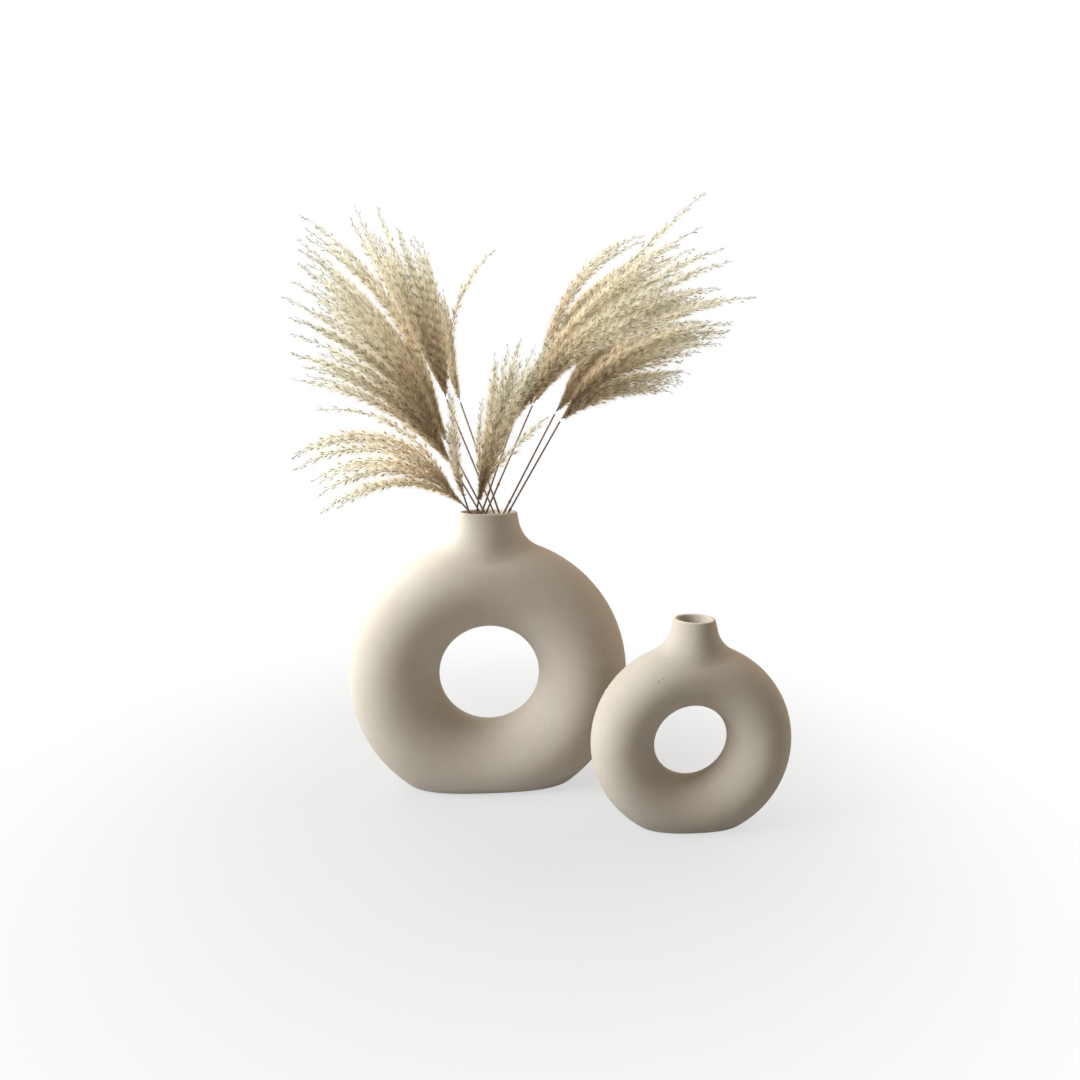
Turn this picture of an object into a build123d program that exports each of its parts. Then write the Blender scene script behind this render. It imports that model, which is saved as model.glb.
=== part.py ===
from build123d import *
from math import cos, hypot, radians, sin
import os

# Two ring-shaped stoneware vases. Dried reed stems stand in the large one and lift out.
# All lengths are in millimetres. The origin is the middle of the large vase's flat foot,
# the rings face -Y and +Z is up.

# Large vase
large_ring_radius = 108.0
large_hole_radius = 39.0
large_hole_height = 87.5
large_height = 215.0
large_depth = 66.0
large_mouth_radius = 22.5
large_wall = 4.8
large_lip = 3.5
large_neck_blend = 16.0
large_foot_round = 9.0
large_lip_crown = 1.5

# Small vase, which stands by itself in front of the large one
small_ring_radius = 70.5
small_hole_radius = 26.5
small_hole_height = 61.0
small_height = 148.5
small_depth = 42.0
small_mouth_radius = 14.2
small_wall = 4.0
small_lip = 2.8
small_neck_blend = 10.0
small_foot_round = 6.0
small_lip_crown = 1.2
small_across = 140.0
small_forward = 78.0

# How far a cutting shape runs past the face that it opens
overrun = 5.0

# Reed stalks
stalk_radius = 1.2
stalk_tip_radius = 0.9
stalk_joint_radius = 1.45
stalk_joint_length = 5.0
stalk_height = 100.0
stalk_rest_gap = 0.3
stalk_probe_step = 0.1
stalk_cut_angle = 40
stalk_joint_share = 0.62
stalk_sides = 10

# Plumes: side branches on a short axis that goes on from the stalk, the lowest a little way up
branch_length = 200.0
branch_root_radius = 0.8
branch_belly_radius = 4.2
branch_tip_radius = 0.5
plume_axis_length = 18.0
plume_bare_length = 2.0
plume_axis_tip_radius = 0.7
plume_axis_sides = 6
branch_sides = 6
branch_stations = 6
branch_unevenness_share = 0.10

# Where each stem crosses the mouth (across and back, in shares of the mouth's inner radius),
# the compass direction and lean of its stalk in degrees, its stalk's height (in shares of
# stalk_height), and its fan of side branches. The compass turns from +X towards +Y. An upper
# or lower branch is its length (in shares of branch_length) and its slope in degrees at the
# root and at the tip. The branches between them are worked out. A stray has its own compass.
stem_shares = {
    "left_tall": dict(
        place=(0.21, 0.32), compass=164, lean=23, stalk=0.92, fan=160, side=7, branches=6,
        upper=(0.73, 70, 57), lower=(0.54, 96, 70)),
    "left_back": dict(
        place=(0.43, 0.37), compass=138, lean=25, stalk=0.92, fan=140, side=7, branches=3,
        upper=(0.46, 92, 84), lower=(0.40, 84, 62), strays=[(0.57, 80, 152, 140)]),
    "left_long": dict(
        place=(-0.34, 0.07), compass=192, lean=30, stalk=0.40, fan=200, side=5, branches=6,
        upper=(0.84, 68, 36), lower=(0.62, 56, 6)),
    "left_broad": dict(
        place=(-0.15, -0.19), compass=175, lean=27, stalk=0.56, fan=176, side=5, branches=6,
        upper=(0.88, 80, 34), lower=(0.75, 73, 16)),
    "left_short": dict(
        place=(-0.73, -0.42), compass=235, lean=27, stalk=0.30, fan=232, side=6, branches=2,
        upper=(0.22, 84, 92), lower=(0.14, 60, 70)),
    "left_low": dict(
        place=(-0.73, 0.0), compass=208, lean=44, stalk=0.22, fan=216, side=6, branches=5,
        upper=(0.55, 52, -28), lower=(0.50, 24, -42)),
    "right_low": dict(
        place=(0.84, -0.13), compass=-14, lean=30, stalk=0.78, fan=-16, side=7, branches=5,
        upper=(0.60, 60, -14), lower=(0.36, 40, -14)),
    "right_broad": dict(
        place=(0.65, -0.32), compass=8, lean=28, stalk=0.83, fan=5, side=7, branches=6,
        upper=(0.82, 72, 4), lower=(0.68, 44, -10)),
    "right_tall": dict(
        place=(-0.06, -0.33), compass=28, lean=27, stalk=0.90, fan=26, side=7, branches=6,
        upper=(0.82, 90, 18), lower=(1.05, 56, 2)),
    "right_long": dict(
        place=(-0.22, 0.26), compass=-38, lean=24, stalk=0.74, fan=-38, side=6, branches=6,
        upper=(0.80, 60, 28), lower=(0.72, 48, 0), strays=[(0.88, 46, 45, -27)]),
    "right_near": dict(
        place=(-0.44, -0.26), compass=-73, lean=27, stalk=0.22, fan=-42, side=8, branches=5,
        upper=(0.40, 86, 72), lower=(0.60, 58, 56), strays=[(0.31, 96, 88, -150)]),
}

# Radius along a branch: shares of the way from root to tip, with shares of the belly's radius
branch_swell_shares = [(0.15, 0.6), (0.4, 1.0), (0.7, 0.8)]


def ring(outline_radius, hole_radius, half_depth, centre_height, floor_height):
    """A solid ring about a level axis along Y, of oval section, cut level at floor_height."""
    half_width = (outline_radius - hole_radius) / 2
    middle_radius = (outline_radius + hole_radius) / 2
    arcs = [
        EllipticalCenterArc((0, 0), half_depth, half_width, start_angle=start, arc_size=180)
        for start in (0, 180)
    ]
    section = Plane.YZ * (Pos(0, -middle_radius) * make_face(arcs))
    turned = Pos(0, 0, centre_height) * revolve(section, Axis.Y, 360)
    return split(turned, Plane.XY.offset(floor_height), keep=Keep.TOP)


def with_neck(body, tube_height, neck_radius, top, blend):
    """Adds an upright round neck to the top of a ring and blends the two into each other."""
    level = (Align.CENTER, Align.CENTER, Align.MIN)
    neck = Pos(0, 0, tube_height) * Cylinder(neck_radius, top - tube_height, align=level)
    joined = body + neck

    def is_join(edge):
        box = edge.bounding_box()
        around_neck = abs(box.size.X - 2 * neck_radius) < neck_radius / 2
        return around_neck and box.min.Z > tube_height and box.max.Z < top - blend / 2

    return fillet([edge for edge in joined.edges() if is_join(edge)], blend)


def donut_vase(ring_radius, hole_radius, hole_height, height, depth, mouth_radius,
               wall, lip, neck_blend, foot_round, lip_crown):
    """One cast vase: a hollow ring with a neck that opens into it and a flat foot."""
    tube_height = hole_height + (ring_radius + hole_radius) / 2
    outside = ring(ring_radius, hole_radius, depth / 2, hole_height, 0)
    foot = outside.faces().sort_by(Axis.Z)[0]
    outside = fillet(foot.edges(), foot_round)
    neck_top = height - lip_crown
    outside = with_neck(outside, tube_height, mouth_radius, neck_top, neck_blend)
    hollow = ring(ring_radius - wall, hole_radius + wall, depth / 2 - wall, hole_height, wall)
    bore_top = height + overrun
    hollow = with_neck(hollow, tube_height, mouth_radius - lip, bore_top, neck_blend + wall)
    crown = EllipticalCenterArc((mouth_radius - lip / 2, neck_top), lip / 2, lip_crown,
                                start_angle=0, arc_size=180)
    rim = revolve(Plane.XZ * make_face([crown, Line(crown @ 1, crown @ 0)]), Axis.Z, 360)
    return outside - hollow + rim


def slope_vector(compass, slope):
    """The unit vector with this compass direction and this slope above level, in degrees."""
    level = cos(radians(slope))
    return Vector(level * cos(radians(compass)), level * sin(radians(compass)),
                  sin(radians(slope)))


def in_ring_hollow(point, margin):
    """True where a point lies in the large ring's hollow tube, at least margin from its wall."""
    inset = large_wall + margin
    half_width = (large_ring_radius - large_hole_radius) / 2 - inset
    half_depth = large_depth / 2 - inset
    from_axis = hypot(point.X, point.Z - large_hole_height)
    off_middle = from_axis - (large_ring_radius + large_hole_radius) / 2
    in_tube = (off_middle / half_width) ** 2 + (point.Y / half_depth) ** 2 < 1
    return in_tube and point.Z > inset


def towards_wall(point, direction):
    """The unit vector square to direction that points to the large ring's nearest wall."""
    from_axis = Vector(point.X, 0, point.Z - large_hole_height)
    middle_radius = (large_ring_radius + large_hole_radius) / 2
    outward = from_axis - from_axis.normalized() * middle_radius + Vector(0, point.Y, 0)
    return (outward - direction * outward.dot(direction)).normalized()


def stem_line(stem):
    """Foot, plume base, direction and resting side of a stem's straight stalk.

    The stalk crosses the mouth and goes on down through the hollow ring until the tip of its
    slanted cut rests on the wall.
    """
    bore_radius = large_mouth_radius - large_lip
    across, back = stem["place"]
    crossing = Vector(across * bore_radius, back * bore_radius, large_height)
    direction = slope_vector(stem["compass"], 90 - stem["lean"])
    tube_height = large_hole_height + (large_ring_radius + large_hole_radius) / 2
    foot = crossing - direction * ((large_height - tube_height) / direction.Z)
    side = towards_wall(foot, direction)
    while in_ring_hollow(foot + side * stalk_radius, stalk_rest_gap):
        foot = foot - direction * stalk_probe_step
        side = towards_wall(foot, direction)
    return foot, crossing + direction * (stem["stalk"] * stalk_height), direction, side


def stalk(foot, top, direction, side):
    """A reed stalk: slightly tapered, with one swollen joint and a slanted cut at the foot."""
    length = (top - foot).length
    joint_at = length * stalk_joint_share
    half_joint = stalk_joint_length / 2
    slimming = (stalk_tip_radius - stalk_radius) / length
    stations = [
        (0, stalk_radius),
        (joint_at - half_joint, stalk_radius + slimming * (joint_at - half_joint)),
        (joint_at, stalk_joint_radius),
        (joint_at + half_joint, stalk_radius + slimming * (joint_at + half_joint)),
        (length, stalk_tip_radius),
    ]
    sections = [Pos(0, 0, up) * RegularPolygon(radius, stalk_sides) for up, radius in stations]
    bar = loft(sections, ruled=True)
    cut = Plane((stalk_radius, 0, 0)).rotated((0, stalk_cut_angle, 0))
    return Plane(origin=foot, x_dir=side, z_dir=direction) * split(bar, cut, keep=Keep.TOP)


def branch_arc(root, compass, length, root_slope, tip_slope):
    """Points along a side branch that bends evenly from root to tip, with their shares."""
    bend = radians(tip_slope - root_slope)
    for index in range(branch_stations):
        share = index / (branch_stations - 1)
        chord = length * share
        if bend and share:
            chord = 2 * length / bend * sin(bend * share / 2)
        slope = root_slope + (tip_slope - root_slope) * share / 2
        yield share, root + slope_vector(compass, slope) * chord


def branch_radius(share):
    """Radius of a side branch: thin at the root, full in the middle, pointed at the tip."""
    marks = [(0, branch_root_radius)]
    marks += [(mark, swell * branch_belly_radius) for mark, swell in branch_swell_shares]
    marks += [(1, branch_tip_radius)]
    for (before, low), (after, high) in zip(marks, marks[1:]):
        if share <= after:
            return low + (high - low) * (share - before) / (after - before)


def branch(root, compass, length, root_slope, tip_slope):
    """One feathery side branch: a many-sided bar along its arc, thick in the middle.

    Its sections are parallel to each other, so every side of the bar is flat.
    """
    mean_direction = slope_vector(compass, (root_slope + tip_slope) / 2)
    sections = [
        Plane(origin=point, z_dir=mean_direction)
        * RegularPolygon(branch_radius(share), branch_sides)
        for share, point in branch_arc(root, compass, length, root_slope, tip_slope)
    ]
    return loft(sections, ruled=True)


def plume_branches(stem, base, direction):
    """Compass, root, length and slopes of every side branch of a plume."""
    count = stem["branches"]
    upper, lower = stem["upper"], stem["lower"]
    for index in range(count):
        share = index / (count - 1)
        length, root_slope, tip_slope = [
            high + (low - high) * share for high, low in zip(upper, lower)
        ]
        length *= branch_length * (1 - branch_unevenness_share * ((index * 5) % 3) / 2)
        swing = stem["side"] * (0.3 + 0.7 * ((index * 3) % 4) / 3)
        compass = stem["fan"] + (swing if index % 2 else -swing)
        root = base + direction * (plume_axis_length + (plume_bare_length - plume_axis_length) * share)
        yield root, compass, length, root_slope, tip_slope
    for length, root_slope, tip_slope, compass in stem.get("strays", []):
        root = base + direction * plume_axis_length
        yield root, compass, length * branch_length, root_slope, tip_slope


def plume(stem, base, direction):
    """A plume: its axis with every side branch grown onto it."""
    ends = [(0, stalk_tip_radius), (plume_axis_length + overrun, plume_axis_tip_radius)]
    axis = loft([Pos(0, 0, up) * RegularPolygon(radius, plume_axis_sides) for up, radius in ends])
    placed = Plane(origin=base, z_dir=direction) * axis
    return placed.fuse(*[branch(*form) for form in plume_branches(stem, base, direction)])


def save(shape, name):
    """Writes one node and prints what was made."""
    shape.label = name
    export_step(shape, f"parts/{name}.step")
    print(f"{name}: {len(shape.solids())} solid, {shape.volume:.0f} mm3, valid {shape.is_valid}")


os.makedirs("parts", exist_ok=True)

large_vase = donut_vase(
    large_ring_radius, large_hole_radius, large_hole_height, large_height, large_depth,
    large_mouth_radius, large_wall, large_lip, large_neck_blend, large_foot_round,
    large_lip_crown)
save(large_vase, "large_vase")

small_vase = donut_vase(
    small_ring_radius, small_hole_radius, small_hole_height, small_height, small_depth,
    small_mouth_radius, small_wall, small_lip, small_neck_blend, small_foot_round,
    small_lip_crown)
save(Pos(small_across, -small_forward, 0) * small_vase, "small_vase")

for name, stem in stem_shares.items():
    foot, base, direction, side = stem_line(stem)
    print(f"{name}: stalk {(base - foot).length:.1f} mm long, foot {foot.Z:.1f} mm up")
    save(stalk(foot, base, direction, side), f"stalk_{name}")
    save(plume(stem, base, direction), f"plume_{name}")
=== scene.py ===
import bmesh
import bpy
import numpy as np
from math import cos, pi, radians, sin
from mathutils import Matrix, Vector


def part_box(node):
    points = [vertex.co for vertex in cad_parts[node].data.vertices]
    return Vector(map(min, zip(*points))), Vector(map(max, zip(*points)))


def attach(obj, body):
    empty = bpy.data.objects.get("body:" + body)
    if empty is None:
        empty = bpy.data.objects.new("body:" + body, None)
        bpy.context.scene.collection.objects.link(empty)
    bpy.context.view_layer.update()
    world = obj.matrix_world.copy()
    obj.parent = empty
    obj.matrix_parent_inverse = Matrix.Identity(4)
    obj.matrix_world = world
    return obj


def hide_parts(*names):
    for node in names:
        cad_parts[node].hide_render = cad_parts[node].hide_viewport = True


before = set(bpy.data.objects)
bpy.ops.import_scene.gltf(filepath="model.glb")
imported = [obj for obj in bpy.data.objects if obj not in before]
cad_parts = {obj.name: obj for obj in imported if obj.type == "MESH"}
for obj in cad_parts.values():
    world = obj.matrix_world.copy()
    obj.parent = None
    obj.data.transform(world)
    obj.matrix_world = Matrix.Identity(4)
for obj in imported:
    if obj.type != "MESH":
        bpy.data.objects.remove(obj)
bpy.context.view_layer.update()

# %% [markdown]
# # Two ring vases with dried reed stems
# The imported CAD model is already in the scene at this point, in metres, with +Z up.
# The modules that the later cells need are imported first.

# %% [markdown]
# ## Camera
# The camera stands close to the vases with a wide lens, a little above the mouth of the large
# one, and looks slightly down and to the right. Its place and lens were fitted to the outlines
# of both vases in the photograph. A constraint could aim it at a point, but two angles say more
# plainly which way it looks.

# %% Camera
yaw, pitch = -0.073, 0.139
lens_millimetres, sensor_millimetres = 24.234, 36
nearest_seen = 0.01
forward = Vector((-sin(yaw) * cos(pitch), cos(yaw) * cos(pitch), -sin(pitch)))
camera = bpy.data.objects.new("camera", bpy.data.cameras.new("camera"))
bpy.context.scene.collection.objects.link(camera)
camera.data.sensor_width = sensor_millimetres
camera.data.lens = lens_millimetres
camera.data.clip_start = nearest_seen
camera.location = (-0.0006, -0.5534, 0.2702)
camera.rotation_euler = forward.to_track_quat("-Z", "Y").to_euler()
bpy.context.scene.camera = camera
print("Camera looks along", [round(v, 3) for v in forward])

# %% [markdown]
# ## Light
# One large soft light stands far to the left and only a little in front, so the vases' left
# edges are bright and their fronts fall off to the right. A weak warm light from the right fills
# the shadows, as the walls of a room would, and a third one shines through the plumes from
# behind. One helper makes all three lamps.

# %% Lamps
def area_light(name, place, target, size, watts, colour):
    """Adds a square soft light at place that shines at target."""
    data = bpy.data.lights.new(name, "AREA")
    data.size, data.energy, data.color = size, watts, colour
    light = bpy.data.objects.new(name, data)
    bpy.context.scene.collection.objects.link(light)
    light.location = place
    light.rotation_euler = (Vector(target) - Vector(place)).to_track_quat("-Z", "Y").to_euler()
    print(name, "gives", watts, "W")


area_light("key_light", place=(-1.10, -0.23, 0.80), target=(0, 0, 0.2), size=0.7, watts=26,
           colour=(0.95, 1.0, 1.02))
area_light("fill_light", place=(1.1, 0.3, 1.0), target=(0, 0, 0.15), size=0.8, watts=6.5,
           colour=(1.0, 0.84, 0.68))
area_light("back_light", place=(-0.8, 0.75, 1.0), target=(-0.03, 0, 0.35), size=0.9, watts=12,
           colour=(1.0, 0.98, 0.95))

# %% [markdown]
# ## World
# The world gives an even, weak and warm light from all sides. The camera sees a white background
# in its place, and so do glossy and transmission rays. One bright white world for all rays would
# be simpler, but it would light the clay from every side alike and hide its form.

# %% World
def seen_directly(nodes, links):
    """A socket that is 1 for camera, glossy and transmission rays, and 0 for all others."""
    rays = nodes.new("ShaderNodeLightPath")
    total = rays.outputs["Is Camera Ray"]
    for kind in ("Is Glossy Ray", "Is Transmission Ray"):
        either = nodes.new("ShaderNodeMath")
        either.operation = "MAXIMUM"
        links.new(total, either.inputs[0])
        links.new(rays.outputs[kind], either.inputs[1])
        total = either.outputs[0]
    return total


room_colour, room_strength = (1.0, 0.82, 0.64, 1), 0.20
world = bpy.data.worlds.new("studio")
bpy.context.scene.world = world
world.use_nodes = True
nodes, links = world.node_tree.nodes, world.node_tree.links
nodes.clear()
white = nodes.new("ShaderNodeBackground")
white.inputs["Color"].default_value = (1, 1, 1, 1)
room = nodes.new("ShaderNodeBackground")
room.inputs["Color"].default_value = room_colour
room.inputs["Strength"].default_value = room_strength
mix = nodes.new("ShaderNodeMixShader")
out = nodes.new("ShaderNodeOutputWorld")
links.new(seen_directly(nodes, links), mix.inputs[0])
links.new(room.outputs[0], mix.inputs[1])
links.new(white.outputs[0], mix.inputs[2])
links.new(mix.outputs[0], out.inputs[0])
bpy.context.scene.view_settings.view_transform = "Standard"
print("World strength", room_strength)

# %% [markdown]
# ## Materials
# A small helper starts each material: it makes a node tree with a Principled shader and gives
# back a function that adds nodes to it. Patterns follow Object coordinates, so they stay on the
# surface when the camera or a piece moves.

# %% Material helpers
def new_material(name, roughness, colour):
    """A material with a Principled shader, and a function that adds a node and links it up."""
    material = bpy.data.materials.new(name)
    material.use_nodes = True
    tree = material.node_tree
    shader = tree.nodes["Principled BSDF"]
    shader.inputs["Roughness"].default_value = roughness
    shader.inputs["Base Color"].default_value = (*colour, 1)

    def add(kind, links=(), **settings):
        node = tree.nodes.new("ShaderNode" + kind)
        for key, value in settings.items():
            if key in node.inputs:
                node.inputs[key].default_value = value
            else:
                setattr(node, key, value)
        for socket, source in dict(links).items():
            tree.links.new(source, node.inputs[socket])
        return node

    return material, shader, add, tree


def colour_ramp(add, source, stops):
    """A colour ramp from (place, colour) stops, driven by source."""
    ramp = add("ValToRGB", {"Fac": source})
    elements = ramp.color_ramp.elements
    while len(elements) < len(stops):
        elements.new(0.5)
    for element, (place, colour) in zip(elements, stops):
        element.position = place
        element.color = (*colour, 1)
    return ramp.outputs["Color"]


print("Made the helpers new_material and colour_ramp")

# %% [markdown]
# ## Stoneware
# Unglazed stoneware is matte and nearly even in colour. A wide soft mottling and a fine sandy
# grain keep it from looking like plastic. The grain is drawn out sideways, because the clay was
# sponged round and round, and it also lifts the surface a little.

# %% Stoneware
stoneware, shader, add, tree = new_material("stoneware", 0.85, (0.60, 0.545, 0.47))
where = add("TexCoord").outputs["Object"]
level = add("Mapping", {"Vector": where}, Scale=(1, 1, 3.5))
mottle = add("TexNoise", {"Vector": where}, Scale=16, Detail=5, Roughness=0.6)
sand = add("TexNoise", {"Vector": level.outputs[0]}, Scale=420, Detail=4, Roughness=0.75)
clay = colour_ramp(add, mottle.outputs["Fac"], [
    (0.30, (0.58, 0.515, 0.435)), (0.50, (0.61, 0.55, 0.47)), (0.70, (0.64, 0.585, 0.505))])
sandy = colour_ramp(add, sand.outputs["Fac"], [(0.30, (0.86, 0.85, 0.83)), (0.62, (1, 1, 1))])
sandy_share = 0.7
tint = add("Mix", data_type="RGBA", blend_type="MULTIPLY")
tint.inputs[0].default_value = sandy_share
tree.links.new(clay, tint.inputs[6])
tree.links.new(sandy, tint.inputs[7])
tree.links.new(tint.outputs[2], shader.inputs["Base Color"])
fine = add("Bump", {"Height": sand.outputs["Fac"]}, Strength=0.30, Distance=0.0003)
wide = add("Bump", {"Height": mottle.outputs["Fac"], "Normal": fine.outputs[0]}, Strength=0.2,
           Distance=0.0015)
tree.links.new(wide.outputs[0], shader.inputs["Normal"])
shader.inputs["Specular IOR Level"].default_value = 0.25
print("Made", stoneware.name)

# %% [markdown]
# ## The flared necks
# A real neck of this kind flares into its ring in one wide curve, wider than the round blend of
# the CAD model. Such a surface is easy to write down as a distance: the nearer of the distances
# from the ring and from a tapered neck, with a smooth step from one to the other. The blend is
# wide where the two meet at a right angle, and it fades where they run along each other. The
# flare could be sculpted by hand too, but a formula gives the same curve on every run. All
# heights are measured from the middle of the ring's hole.

# %% Distance from a ring with a flared neck
vase_shapes = {
    "large_vase": dict(centre=(0, 0, 0.0875), middle=0.0735, half_width=0.0345,
                       half_depth=0.033, top=0.1275, mouth=0.0225, taper=0.11, blend=0.022),
    "small_vase": dict(centre=(0.140, -0.078, 0.061), middle=0.0485, half_width=0.022,
                       half_depth=0.021, top=0.0875, mouth=0.0142, taper=0.13, blend=0.019),
}
least_blend_share = 0.01
nearly_zero = 1e-6


def distance_outside(spots, shape):
    """How far each spot is outside the ring with its flared neck, in metres."""
    x, y, z = (spots - np.array(shape["centre"])).T
    from_axis, around_neck = np.hypot(x, z), np.maximum(np.hypot(x, y), nearly_zero)
    across = (from_axis - shape["middle"]) / shape["half_width"]
    deep = y / shape["half_depth"]
    from_ring = (np.hypot(across, deep) - 1) * shape["half_depth"]
    from_neck = around_neck - shape["mouth"] - shape["taper"] * (shape["top"] - z)
    normal = np.stack([across * x / from_axis / shape["half_width"],
                       deep / shape["half_depth"],
                       across * z / from_axis / shape["half_width"]])
    outward = (normal[0] * x + normal[1] * y) / np.linalg.norm(normal, axis=0) / around_neck
    blend = shape["blend"] * np.maximum(1 - outward, least_blend_share)
    overlap = np.maximum(1 - np.abs(from_ring - from_neck) / blend, 0)
    return np.minimum(from_ring, from_neck) - overlap ** 2 * blend / 4


def slope_outside(spots, shape, step=1e-5):
    """The direction in which the distance grows fastest at each spot."""
    rises = [distance_outside(spots + step * side, shape)
             - distance_outside(spots - step * side, shape) for side in np.eye(3)]
    slope = np.stack(rises, axis=1)
    return slope / np.linalg.norm(slope, axis=1, keepdims=True)


for name, shape in vase_shapes.items():
    print("The flare of", name, "is", shape["blend"] * 1000, "mm wide")

# %% [markdown]
# ## Vase pieces
# Each vase is one hollow cast of clay. Its piece is a copy of the CAD mesh, and not a new shape,
# because the lip, the inside and the rest of the ring can stay as they are. The outer edges
# around the neck are divided, the longest first, and their corners are then moved onto the
# flared surface in a few short moves.

# %% Vase pieces
lip_height = 0.0017
below_middle = 0.008
reach_in_half_depths = 1.8
least_facing_out = 0.2
longest_edges = (0.016, 0.008, 0.004, 0.002)
same_place = 1e-6
settling_moves = 6


def neck_corners(bm, shape):
    """The corners of the outer surface around the neck, below the lip."""
    found = []
    for corner in bm.verts:
        x, y, z = corner.co - Vector(shape["centre"])
        high_enough = shape["middle"] - below_middle < z < shape["top"] - lip_height
        if high_enough and (x * x + y * y) ** 0.5 < reach_in_half_depths * shape["half_depth"]:
            found.append(corner)
    spots = np.array([corner.co[:] for corner in found])
    normals = np.array([corner.normal[:] for corner in found])
    outer = (normals * slope_outside(spots, shape)).sum(axis=1) > least_facing_out
    return [corner for corner, keep in zip(found, outer) if keep]


def divide_around_neck(bm, shape):
    """Divides the long edges around the neck, the longest first."""
    for longest in longest_edges:
        around = set(neck_corners(bm, shape))
        long_edges = [edge for edge in bm.edges
                      if edge.verts[0] in around and edge.verts[1] in around
                      and edge.calc_length() > longest]
        bmesh.ops.subdivide_edges(bm, edges=long_edges, cuts=1)
        bmesh.ops.triangulate(bm, faces=[face for face in bm.faces if len(face.verts) > 3])
        bm.normal_update()


def object_from(bm, name, material):
    """Turns a bmesh into an object in the scene, with smooth faces."""
    mesh = bpy.data.meshes.new(name)
    for face in bm.faces:
        face.smooth = True
    bm.to_mesh(mesh)
    bm.free()
    piece = bpy.data.objects.new(name, mesh)
    bpy.context.scene.collection.objects.link(piece)
    mesh.materials.append(material)
    return piece


for name, shape in vase_shapes.items():
    bm = bmesh.new()
    bm.from_mesh(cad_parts[name].data)
    bmesh.ops.remove_doubles(bm, verts=bm.verts, dist=same_place)
    bm.normal_update()
    divide_around_neck(bm, shape)
    moved = neck_corners(bm, shape)
    before = np.array([corner.co[:] for corner in moved])
    spots = before.copy()
    for _ in range(settling_moves):
        spots -= slope_outside(spots, shape) * distance_outside(spots, shape)[:, None]
    for corner, spot in zip(moved, spots):
        corner.co = spot
    piece = object_from(bm, "stoneware_" + name, stoneware)
    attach(piece, name)
    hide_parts(name)
    furthest = 1000 * np.linalg.norm(spots - before, axis=1).max()
    print(name, "has", len(piece.data.polygons), "triangles, moved by up to",
          round(furthest, 2), "mm")

# %% [markdown]
# ## Floor
# The floor is pale and plain. Seen directly it turns to white away from the vases, so that no
# horizon shows, but it gives the vases no more light than a pale floor would. A curved backdrop
# could hide the horizon too, but a flat disc looks the same from every side.

# %% Floor
floor_radius = 6
fade_from, fade_to, white_share_near = 0.10, 0.45, 0.62
floor_material, shader, add, tree = new_material("floor_white", 0.9, (0.36, 0.36, 0.36))
where = add("TexCoord").outputs["Object"]
distance = add("VectorMath", {0: where}, operation="LENGTH")
fade = add("MapRange", {"Value": distance.outputs["Value"]}, interpolation_type="SMOOTHSTEP")
fade.inputs["From Min"].default_value = fade_from
fade.inputs["From Max"].default_value = fade_to
fade.inputs["To Min"].default_value = white_share_near
seen = add("Math", {0: fade.outputs["Result"], 1: seen_directly(tree.nodes, tree.links)},
           operation="MULTIPLY")
glow = add("Emission", Color=(1, 1, 1, 1), Strength=1.0)
blend = add("MixShader", {0: seen.outputs[0], 1: shader.outputs[0], 2: glow.outputs[0]})
tree.links.new(blend.outputs[0], tree.nodes["Material Output"].inputs["Surface"])
bm = bmesh.new()
bmesh.ops.create_circle(bm, cap_ends=True, segments=64, radius=floor_radius)
mesh = bpy.data.meshes.new("floor")
bm.to_mesh(mesh)
bm.free()
floor = bpy.data.objects.new("floor", mesh)
bpy.context.scene.collection.objects.link(floor)
floor.data.materials.append(floor_material)
print("Floor radius", floor_radius, "m")

# %% [markdown]
# ## The stems
# Each stem has one row: where its stalk crosses the mouth (in shares of the mouth's radius), the
# compass and lean of the stalk in degrees, its height above the mouth (in shares of 0.1 m), and
# its fan of side branches from an upper to a lower one (length in shares of 0.2 m, slope in
# degrees at the root and at the tip). A stray has its own compass. Where the side branches sprout
# below the stalk's top, the row says at which height. The rows follow the photograph, stem by
# stem, and one table keeps all the numbers of a stem in sight at once.

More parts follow.
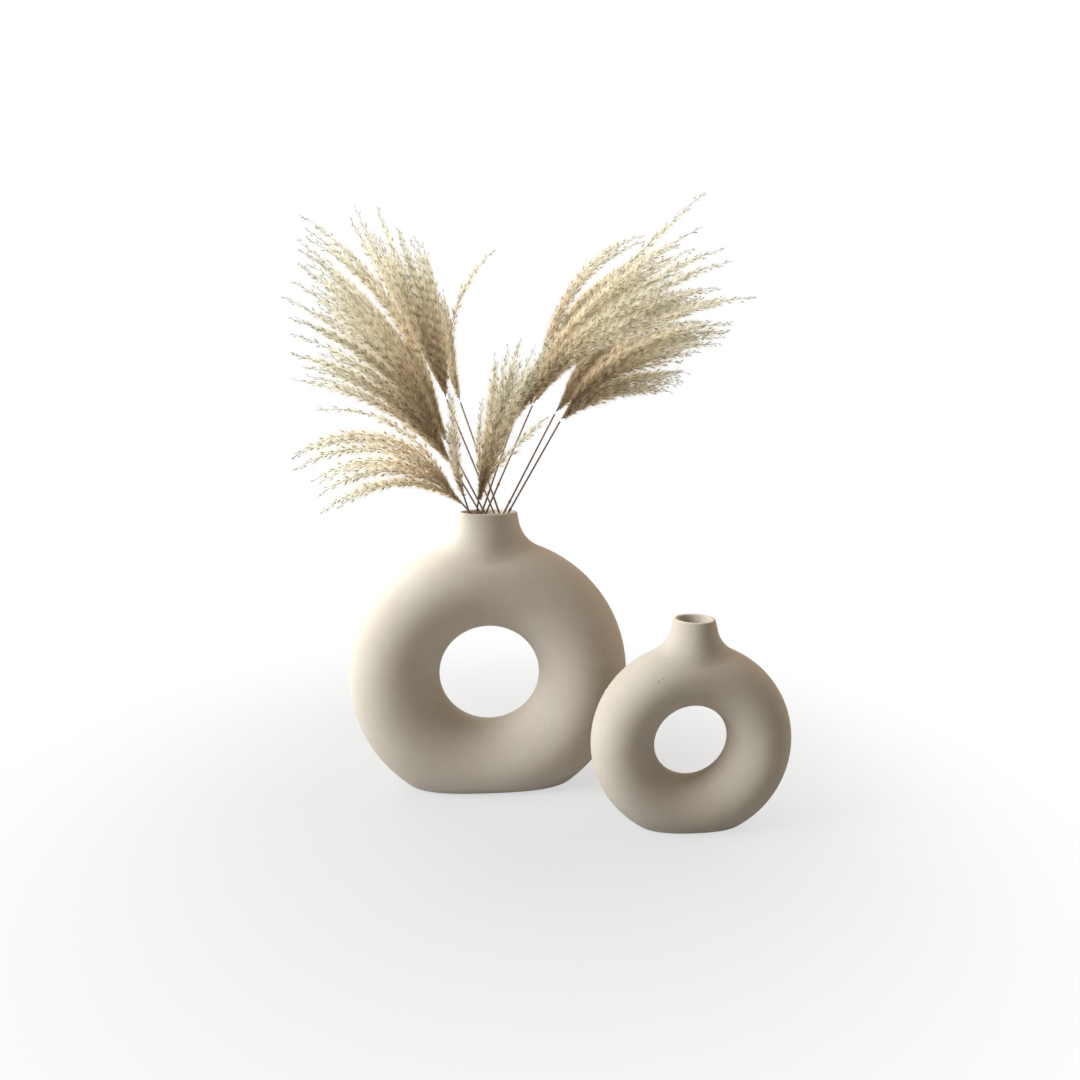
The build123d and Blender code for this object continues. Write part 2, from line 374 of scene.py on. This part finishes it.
# %% Stems
stems = {
    "left_tall": dict(
        place=(0.21, 0.32), compass=164, lean=23, stalk=0.92, fan=160, side=8, racemes=16,
        upper=(0.75, 61, 62), lower=(0.58, 92, 70)),
    "left_back": dict(
        place=(0.43, 0.37), compass=138, lean=25, stalk=0.92, fan=140, side=7, racemes=7,
        upper=(0.36, 84, 80), lower=(0.48, 70, 76), strays=[(0.57, 74, 158, 139)]),
    "left_long": dict(
        place=(-0.34, 0.07), compass=192, lean=30, stalk=0.40, fan=200, side=5, racemes=17,
        upper=(0.85, 74, 29), lower=(0.64, 52, 8)),
    "left_broad": dict(
        place=(-0.15, -0.19), compass=175, lean=27, stalk=0.56, fan=176, side=5, racemes=17,
        upper=(0.90, 83, 30), lower=(0.80, 62, 28)),
    "left_short": dict(
        place=(-0.73, -0.42), compass=235, lean=27, stalk=0.30, sprout=0.12, fan=238, side=6,
        racemes=3, upper=(0.32, 84, 80), lower=(0.20, 62, 70)),
    "left_low": dict(
        place=(-0.73, 0.0), compass=208, lean=44, stalk=0.22, sprout=0.06, fan=217, side=5,
        racemes=8, upper=(0.69, 60, -32), lower=(0.60, 34, -32), strays=[(0.62, 66, -8, 216)]),
    "right_low": dict(
        place=(0.84, -0.13), compass=-14, lean=30, stalk=0.78, fan=-16, side=7, racemes=15,
        upper=(0.76, 58, 0), lower=(0.42, 34, -8)),
    "right_broad": dict(
        place=(0.65, -0.32), compass=8, lean=28, stalk=0.83, fan=5, side=7, racemes=17,
        upper=(0.84, 67, 17), lower=(0.70, 43, 0)),
    "right_tall": dict(
        place=(-0.06, -0.33), compass=28, lean=27, stalk=0.90, fan=26, side=7, racemes=17,
        upper=(0.83, 85, 18), lower=(1.03, 50, 3)),
    "right_long": dict(
        place=(-0.22, 0.26), compass=-38, lean=24, stalk=0.74, fan=-38, side=6, racemes=17,
        upper=(0.85, 54, 20), lower=(0.78, 52, -4), strays=[(0.90, 53, 36, -27)]),
    "right_near": dict(
        place=(-0.44, -0.26), compass=-73, lean=27, stalk=0.22, sprout=0.06, fan=-42, side=8,
        racemes=13, upper=(0.47, 76, 84), lower=(0.74, 66, 54),
        strays=[(0.31, 85, 99, -150), (0.37, 46, 38, -28)]),
}
mouth_height, mouth_radius = 0.215, 0.019
stalk_scale, branch_scale = 0.1, 0.2


def slope_vector(compass, slope):
    """The unit vector with this compass direction and this slope above level, in degrees."""
    level = cos(radians(slope))
    return Vector((level * cos(radians(compass)), level * sin(radians(compass)),
                   sin(radians(slope))))


def stalk_line(name):
    """Foot, top and direction of a stem's stalk. The foot comes from the CAD node's box."""
    stem = stems[name]
    across, back = stem["place"]
    direction = slope_vector(stem["compass"], 90 - stem["lean"])
    crossing = Vector((across * mouth_radius, back * mouth_radius, mouth_height))
    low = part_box("stalk_" + name)[0].z
    foot = crossing - direction * ((mouth_height - low) / direction.z)
    return foot, crossing + direction * (stalk_scale * stem["stalk"]), direction


for name in stems:
    foot, top, direction = stalk_line(name)
    print(name, "stalk", round((top - foot).length, 3), "m long")

# %% [markdown]
# ## Dry stalks
# The stalk's colour runs in long fibres from straw to reddish brown. A painted image could show
# them, but a stretched noise pattern stays sharp at any distance. It follows a map that goes
# across and along the stalk, so the fibres lie along it.

# %% Stalk material
reed, shader, add, tree = new_material("dry_stalk", 0.55, (0.24, 0.15, 0.09))
around = add("UVMap").outputs[0]
stretch = add("Mapping", {"Vector": around}, Scale=(40, 6, 1))
fibre = add("TexNoise", {"Vector": stretch.outputs[0]}, Scale=1.0, Detail=4, Roughness=0.6)
straw = colour_ramp(add, fibre.outputs["Fac"], [
    (0.30, (0.15, 0.085, 0.05)), (0.55, (0.25, 0.155, 0.095)), (0.75, (0.38, 0.27, 0.18))])
tree.links.new(straw, shader.inputs["Base Color"])
ridge = add("Bump", {"Height": fibre.outputs["Fac"]}, Strength=0.5, Distance=0.0002)
tree.links.new(ridge.outputs[0], shader.inputs["Normal"])
print("Made", reed.name)

# %% [markdown]
# ## Stalk pieces
# A stalk is a half outline turned into a bar with the spin operator. A cylinder would be
# quicker, but it hasn't the swollen joint of a real reed, which the outline has. The map for the
# fibres is written while the bar still stands upright.

# %% Stalk pieces
joint_share = 0.62
stalk_sides = 14
map_width, map_length = 0.0012, 0.02


def stalk_outline(length):
    """Radius and height of each corner of a stalk's half outline, with the joint partway up."""
    joint = joint_share * length
    return [
        (0, 0), (0.00078, 0), (0.00086, 0.0006), (0.00076, joint - 0.002),
        (0.00080, joint - 0.0012), (0.00106, joint - 0.0003), (0.00110, joint + 0.0003),
        (0.00084, joint + 0.0010), (0.00070, joint + 0.002), (0.00062, length - 0.001),
        (0.00055, length), (0, length)]


def stalk_piece(name):
    """A round stalk from foot to top with its joint, in place."""
    foot, top, direction = stalk_line(name)
    bm = bmesh.new()
    corners = [bm.verts.new((radius, 0, up)) for radius, up in stalk_outline((top - foot).length)]
    edges = [bm.edges.new(pair) for pair in zip(corners, corners[1:])]
    bmesh.ops.spin(bm, geom=corners + edges, cent=(0, 0, 0), axis=(0, 0, 1), angle=2 * pi,
                   steps=stalk_sides, use_merge=True)
    bmesh.ops.remove_doubles(bm, verts=bm.verts, dist=same_place)
    bmesh.ops.recalc_face_normals(bm, faces=bm.faces)
    uv = bm.loops.layers.uv.new("along")
    for face in bm.faces:
        for loop in face.loops:
            spot = loop.vert.co
            loop[uv].uv = (0.5 + 0.5 * spot.x / map_width, spot.z / map_length)
    turn = direction.to_track_quat("Z", "Y").to_matrix().to_4x4()
    bmesh.ops.transform(bm, matrix=Matrix.Translation(foot) @ turn, verts=bm.verts)
    piece = object_from(bm, "dry_stalk_" + name, reed)
    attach(piece, "stem_" + name)
    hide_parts("stalk_" + name)


for name in stems:
    stalk_piece(name)
print("Stalks:", len(stems))

# %% [markdown]
# ## Side branches
# A plume is a fan of thin side branches, the racemes. Each one bends evenly from its root to its
# tip, and lies between the upper and the lower branch of its stem. Random numbers make them
# uneven, and their seed is fixed, so every run gives the same plumes. The uppermost and the
# lowest raceme keep their full length. All of them sprout 2 to 18 mm above the foot of the
# plume's own axis, which goes on in the direction of the stalk. That axis isn't modelled here,
# because the tufts hide all of it but its first 2 mm.

# %% Raceme arcs
highest_root, root_range = 0.018, 0.016
shortest_share, longest_share = 0.74, 1.03
root_slope_spread, tip_slope_spread = 3, 5
stray_thinness = 0.18


def arc_points(arc, shares):
    """Points and directions along an evenly bent arc at the given shares of its length."""
    root, compass, length, root_slope, tip_slope = arc
    bend = radians(tip_slope - root_slope)
    shares = np.asarray(shares)[:, None]
    slope = np.radians(root_slope + (tip_slope - root_slope) * shares)
    middle = np.radians(root_slope + (tip_slope - root_slope) * shares / 2)
    chord = length * shares * np.sinc(bend * shares / 2 / pi)
    level = np.array([[cos(radians(compass)), sin(radians(compass)), 0]])
    upright = np.array([[0, 0, 1.0]])
    points = np.array([root]) + chord * (np.cos(middle) * level + np.sin(middle) * upright)
    return points, np.cos(slope) * level + np.sin(slope) * upright


def raceme_arcs(name, rng):
    """The arc (root, compass, length and slopes) and the thinness of each raceme of a plume."""
    stem = stems[name]
    foot, top, direction = stalk_line(name)
    below_top = stem["stalk"] - stem.get("sprout", stem["stalk"])
    base = top - direction * (stalk_scale * below_top)
    count = stem["racemes"]
    for index in range(count):
        share = index / (count - 1)
        length, root_slope, tip_slope = [
            high + (low - high) * share for high, low in zip(stem["upper"], stem["lower"])]
        full = index in (0, count - 1)
        length *= branch_scale * (1 if full else rng.uniform(shortest_share, longest_share))
        compass = stem["fan"] + stem["side"] * rng.uniform(-1, 1)
        root = base + direction * (highest_root - root_range * share)
        root_slope += rng.uniform(-root_slope_spread, root_slope_spread)
        tip_slope += rng.uniform(-tip_slope_spread, tip_slope_spread)
        yield (root, compass, length, root_slope, tip_slope), 0
    for length, root_slope, tip_slope, compass in stem.get("strays", []):
        root = base + direction * highest_root
        yield (root, compass, branch_scale * length, root_slope, tip_slope), stray_thinness


total = sum(stem["racemes"] for stem in stems.values())
print("Racemes:", total)

# %% [markdown]
# ## Tufts
# The smallest part of a plume is a tuft: a pointed grain with silky hairs that spread from its
# foot. Three kinds are made once and then stamped along every raceme: grains with hairs, hairs
# alone, and nearly bare grains for the tips. Each tuft points along +Z and is about one unit
# long. A hair is a thin triangle: a circle of three corners and radius 1 is 1.5 high, so it is
# scaled by a part of 1.5 and lifted by a third of its length to stand on its foot.

# %% Tufts
grain_radius, grain_half_length = 0.075, 0.26
shortest_hair, longest_hair, hair_thinness = 0.7, 1.2, 0.026
least_spread_share = 0.05
least_hairy = 0.75


def make_tuft(rng, grain, hairs, spread):
    """Corner places, triangles and how hairy each corner is (0 on the grain) of one tuft."""
    bm = bmesh.new()
    if grain:
        lift = Matrix.Translation((0, 0, grain_half_length))
        slim = Matrix.Diagonal((grain_radius, grain_radius, grain_half_length, 1))
        bmesh.ops.create_uvsphere(bm, u_segments=5, v_segments=3, radius=1, matrix=lift @ slim)
    grain_corners = len(bm.verts)
    for index in range(hairs):
        tilt = Matrix.Rotation(radians(spread * rng.uniform(least_spread_share, 1)), 4, "X")
        turn = Matrix.Rotation(2 * pi * (index + rng.uniform(0, 1)) / hairs, 4, "Z")
        twist = Matrix.Rotation(rng.uniform(0, pi), 4, "Z")
        length = rng.uniform(shortest_hair, longest_hair)
        thin = Matrix.Diagonal((hair_thinness, 1, length / 1.5, 1))
        stand = Matrix.Rotation(pi / 2, 4, "X")
        lift = Matrix.Translation((0, 0, length / 3))
        bmesh.ops.create_circle(bm, cap_ends=True, segments=3, radius=1,
                                matrix=turn @ tilt @ twist @ lift @ thin @ stand)
    bmesh.ops.triangulate(bm, faces=bm.faces)
    bm.verts.ensure_lookup_table()
    places = np.array([v.co[:] for v in bm.verts])
    faces = np.array([[v.index for v in f.verts] for f in bm.faces])
    hair = np.zeros(len(places))
    along = np.linalg.norm(places[grain_corners:], axis=1)
    hair[grain_corners:] = np.clip(along, least_hairy, 1)
    bm.free()
    return places, faces, hair


rng = np.random.default_rng(7)
grain_tufts = [make_tuft(rng, grain=True, hairs=14, spread=30) for _ in range(6)]
silky_tufts = [make_tuft(rng, grain=False, hairs=24, spread=36) for _ in range(6)]
bare_tufts = [make_tuft(rng, grain=True, hairs=5, spread=24) for _ in range(4)]
for kind, tufts in (("grain", grain_tufts), ("silky", silky_tufts), ("bare", bare_tufts)):
    print("A", kind, "tuft has", len(tufts[0][1]), "triangles")

# %% [markdown]
# ## Plume material
# Three things are stored on a plume's corners: how far along the raceme a corner is, whether it
# is grain or hair, and a random number for its tuft. The root is brown, the hairs are cream, the
# bare grains at the tips are a dull green-brown, and no two tufts are quite as pale. Thin dry
# hairs also let light through, which a translucent shader beside the Principled one gives. Each
# hair here stands for several real ones with gaps between them, so the plume's shadows are
# light: most shadow rays pass.

# %% Plume material
darkest_tuft, palest_tuft = 0.86, 1.08
through_share, gap_share = 0.65, 0.68
plume_material, shader, add, tree = new_material("reed_plume", 0.8, (0.78, 0.70, 0.53))
stored = add("Attribute", attribute_name="tone")
parts = add("SeparateColor", {0: stored.outputs["Color"]})
along, hairy, chance = parts.outputs["Red"], parts.outputs["Green"], parts.outputs["Blue"]
hair_colour = colour_ramp(add, along, [
    (0.0, (0.60, 0.46, 0.29)), (0.20, (0.83, 0.72, 0.53)), (0.48, (0.93, 0.86, 0.69)),
    (0.95, (0.91, 0.89, 0.77))])
grain_colour = colour_ramp(add, along, [
    (0.0, (0.22, 0.14, 0.075)), (0.4, (0.36, 0.26, 0.15)), (0.85, (0.28, 0.25, 0.165))])
coat = add("Mix", data_type="RGBA")
tree.links.new(hairy, coat.inputs[0])
tree.links.new(grain_colour, coat.inputs[6])
tree.links.new(hair_colour, coat.inputs[7])
uneven = add("MapRange", {"Value": chance})
uneven.inputs["To Min"].default_value = darkest_tuft
uneven.inputs["To Max"].default_value = palest_tuft
shade = add("VectorMath", {0: coat.outputs[2], "Scale": uneven.outputs["Result"]},
            operation="SCALE")
tree.links.new(shade.outputs[0], shader.inputs["Base Color"])
through = add("BsdfTranslucent", {"Color": shade.outputs[0]})
thin = add("MixShader", {1: shader.outputs[0], 2: through.outputs[0]})
thin.inputs[0].default_value = through_share
rays = add("LightPath")
gaps = add("Math", {0: rays.outputs["Is Shadow Ray"]}, operation="MULTIPLY")
gaps.inputs[1].default_value = gap_share
clear = add("BsdfTransparent")
airy = add("MixShader", {0: gaps.outputs[0], 1: thin.outputs[0], 2: clear.outputs[0]})
tree.links.new(airy.outputs[0], tree.nodes["Material Output"].inputs["Surface"])
print("Made", plume_material.name)

# %% [markdown]
# ## Placing the tufts
# Tufts stand all round a raceme and lean towards its tip. They are full in the middle and bare
# and far apart at the tip. Numpy moves every copy of a tuft at once, which is much faster than
# one operator per copy.

# %% Stamp
def stamp(template, places, axes, sizes, along, rng):
    """Copies of a tuft with their foot at places, pointing along axes, scaled by sizes."""
    corners, faces, hair = template
    count = len(places)
    helper = np.cross(axes, rng.normal(size=(count, 3)))
    side = helper / np.linalg.norm(helper, axis=1, keepdims=True)
    other = np.cross(axes, side)
    basis = np.stack([side, other, axes], axis=1) * sizes[:, None, None]
    moved = np.einsum("vi,cij->cvj", corners, basis) + places[:, None, :]
    index = faces[None] + (np.arange(count) * len(corners))[:, None, None]
    tone = np.ones((count, len(corners), 4))
    tone[..., 0] = along[:, None]
    tone[..., 1] = hair[None]
    tone[..., 2] = rng.uniform(0, 1, (count, 1))
    return moved.reshape(-1, 3), index.reshape(-1, 3), tone.reshape(-1, 4)


def stamp_each(tufts, chosen, places, axes, sizes, along, rng):
    """Stamps a randomly picked tuft of one kind at every chosen place."""
    pick = rng.integers(0, len(tufts), len(places))
    for number, template in enumerate(tufts):
        use = chosen & (pick == number)
        if use.any():
            yield stamp(template, places[use], axes[use], sizes[use], along[use], rng)


print("Tufts per kind:", len(grain_tufts), len(silky_tufts), len(bare_tufts))

# %% [markdown]
# ## One raceme
# A raceme is a thin curved axis with its tufts, which stand a little way off it.
# A wide band of hairs fills its middle, and the tufts are smaller at the root and at the tip.
# Only the last part of it is bare. Each tuft could be placed by hand, but uneven random steps
# along the arc look as grown, and take a few seconds for the whole object.

# %% Raceme
tuft_pitch = 0.0009
tuft_length = 0.0070
bare_from = 0.80
most_missing = 0.5
first_share, pitch_spread = 0.02, 0.4
turn_per_tuft, turn_spread = 2.4, 0.6
least_lean, most_lean, straighter_at_tip = 13, 27, 6
fullness_places, fullness_there = (0, 0.12, 0.35, 0.75, 1), (0.5, 0.85, 1.05, 0.9, 0.55)
slimmer_when_thin = 0.4
size_spread = 0.15
grain_stand_off, hair_stand_off = (0.0008, 0.0024), (0, 0.0016)


def raceme(arc, thinness, rng):
    """All tufts of one raceme as (corners, triangles, tones). A thin one has fewer of them."""
    compass, length = arc[1], arc[2]
    count = int(length / tuft_pitch)
    uneven_pitch = rng.uniform(-pitch_spread, pitch_spread, count)
    shares = np.clip((np.arange(count) + uneven_pitch) / count, first_share, 1)
    sparse = np.clip((shares - bare_from) / (1 - bare_from), 0, 1)
    kept = rng.uniform(0, 1, count) > np.maximum(most_missing * sparse, thinness)
    shares, sparse = shares[kept], sparse[kept]
    count = len(shares)
    points, along = arc_points(arc, shares)
    across = np.array([-sin(radians(compass)), cos(radians(compass)), 0.0])
    upward = np.cross(along, across)
    turn = np.arange(count) * turn_per_tuft + rng.uniform(-turn_spread, turn_spread, count)
    out = np.cos(turn)[:, None] * across + np.sin(turn)[:, None] * upward
    with_grain = np.arange(count) % 2 == 0
    bare = rng.uniform(0, 1, count) < np.maximum(sparse, thinness)
    lean = np.radians(rng.uniform(least_lean, most_lean, count) - straighter_at_tip * sparse)
    axes = np.cos(lean)[:, None] * along + np.sin(lean)[:, None] * out
    fullness = np.interp(shares, fullness_places, fullness_there)
    fullness *= 1 - slimmer_when_thin * thinness
    sizes = tuft_length * fullness * rng.uniform(1 - size_spread, 1 + size_spread, count)
    far_off, near_off = rng.uniform(*grain_stand_off, count), rng.uniform(*hair_stand_off, count)
    stand_off = np.where(with_grain, far_off, near_off)
    feet = points + out * (stand_off * fullness)[:, None]
    made = []
    for tufts, chosen in (
            (grain_tufts, ~bare & with_grain), (silky_tufts, ~bare & ~with_grain),
            (bare_tufts, bare & with_grain)):
        made += stamp_each(tufts, chosen, feet, axes, sizes, shares, rng)
    return made


print("Tufts every", tuft_pitch * 1000, "mm, each", tuft_length * 1000, "mm long")

# %% [markdown]
# ## The axis of a raceme
# The axis of a raceme is a thread that gets thinner towards its tip. Extruding a small triangle
# from step to step could make it. Its few corners are worked out in numpy instead, as the tufts'
# are, so that both can go into one mesh without an operator for each of some 150 racemes.

# %% Raceme axis
axis_steps, axis_sides = 18, 3
axis_radius, axis_taper = 0.0004, 0.7


def raceme_axis(arc):
    """The thin curved axis of a raceme as a three-sided bar."""
    shares = np.linspace(0, 1, axis_steps)
    points, along = arc_points(arc, shares)
    across = np.array([-sin(radians(arc[1])), cos(radians(arc[1])), 0.0])
    upward = np.cross(along, across)
    radius = axis_radius * (1 - axis_taper * shares)
    turns = [2 * pi * side / axis_sides for side in range(axis_sides)]
    ring = [points + radius[:, None] * (cos(turn) * across + sin(turn) * upward)
            for turn in turns]
    corners = np.stack(ring, axis=1).reshape(-1, 3)
    faces = []
    for step in range(axis_steps - 1):
        for side in range(axis_sides):
            a = axis_sides * step + side
            b = axis_sides * step + (side + 1) % axis_sides
            faces += [(a, b, b + axis_sides), (a, b + axis_sides, a + axis_sides)]
    tone = np.zeros((len(corners), 4))
    tone[:, 0] = np.repeat(shares, axis_sides)
    tone[:, 2] = 0.5
    tone[:, 3] = 1
    return corners, np.array(faces), tone


print("A raceme's axis has", axis_steps, "rings of corners and is", 2000 * axis_radius, "mm thick")

# %% [markdown]
# ## Plume pieces
# All racemes of a stem go into one mesh, which rides on that stem's body and stands for the
# plain plume of the CAD model. Each raceme could be an object of its own, but a plume is always
# lifted out as one piece.

# %% Plume pieces
first_seed = 11


def plume_piece(name, seed):
    """A whole plume: all racemes of a stem in one mesh."""
    rng = np.random.default_rng(seed)
    parts = []
    for arc, thinness in raceme_arcs(name, rng):
        parts += raceme(arc, thinness, rng)
        parts.append(raceme_axis(arc))
    offset, corners, faces, tones = 0, [], [], []
    for part_corners, part_faces, part_tones in parts:
        corners.append(part_corners)
        faces.append(part_faces + offset)
        tones.append(part_tones)
        offset += len(part_corners)
    corners, faces, tones = np.vstack(corners), np.vstack(faces), np.vstack(tones)
    mesh = bpy.data.meshes.new("plume_hairs_" + name)
    mesh.vertices.add(len(corners))
    mesh.vertices.foreach_set("co", corners.ravel())
    mesh.loops.add(faces.size)
    mesh.loops.foreach_set("vertex_index", faces.ravel())
    mesh.polygons.add(len(faces))
    mesh.polygons.foreach_set("loop_start", np.arange(len(faces)) * 3)
    mesh.update(calc_edges=True)
    mesh.attributes.new("tone", "FLOAT_COLOR", "POINT").data.foreach_set("color", tones.ravel())
    mesh.materials.append(plume_material)
    piece = bpy.data.objects.new("plume_hairs_" + name, mesh)
    bpy.context.scene.collection.objects.link(piece)
    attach(piece, "stem_" + name)
    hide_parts("plume_" + name)
    print(name, "plume has", len(faces), "triangles")
    return len(faces)


total = sum(plume_piece(name, first_seed + number) for number, name in enumerate(stems))
print("All plumes:", total, "triangles")
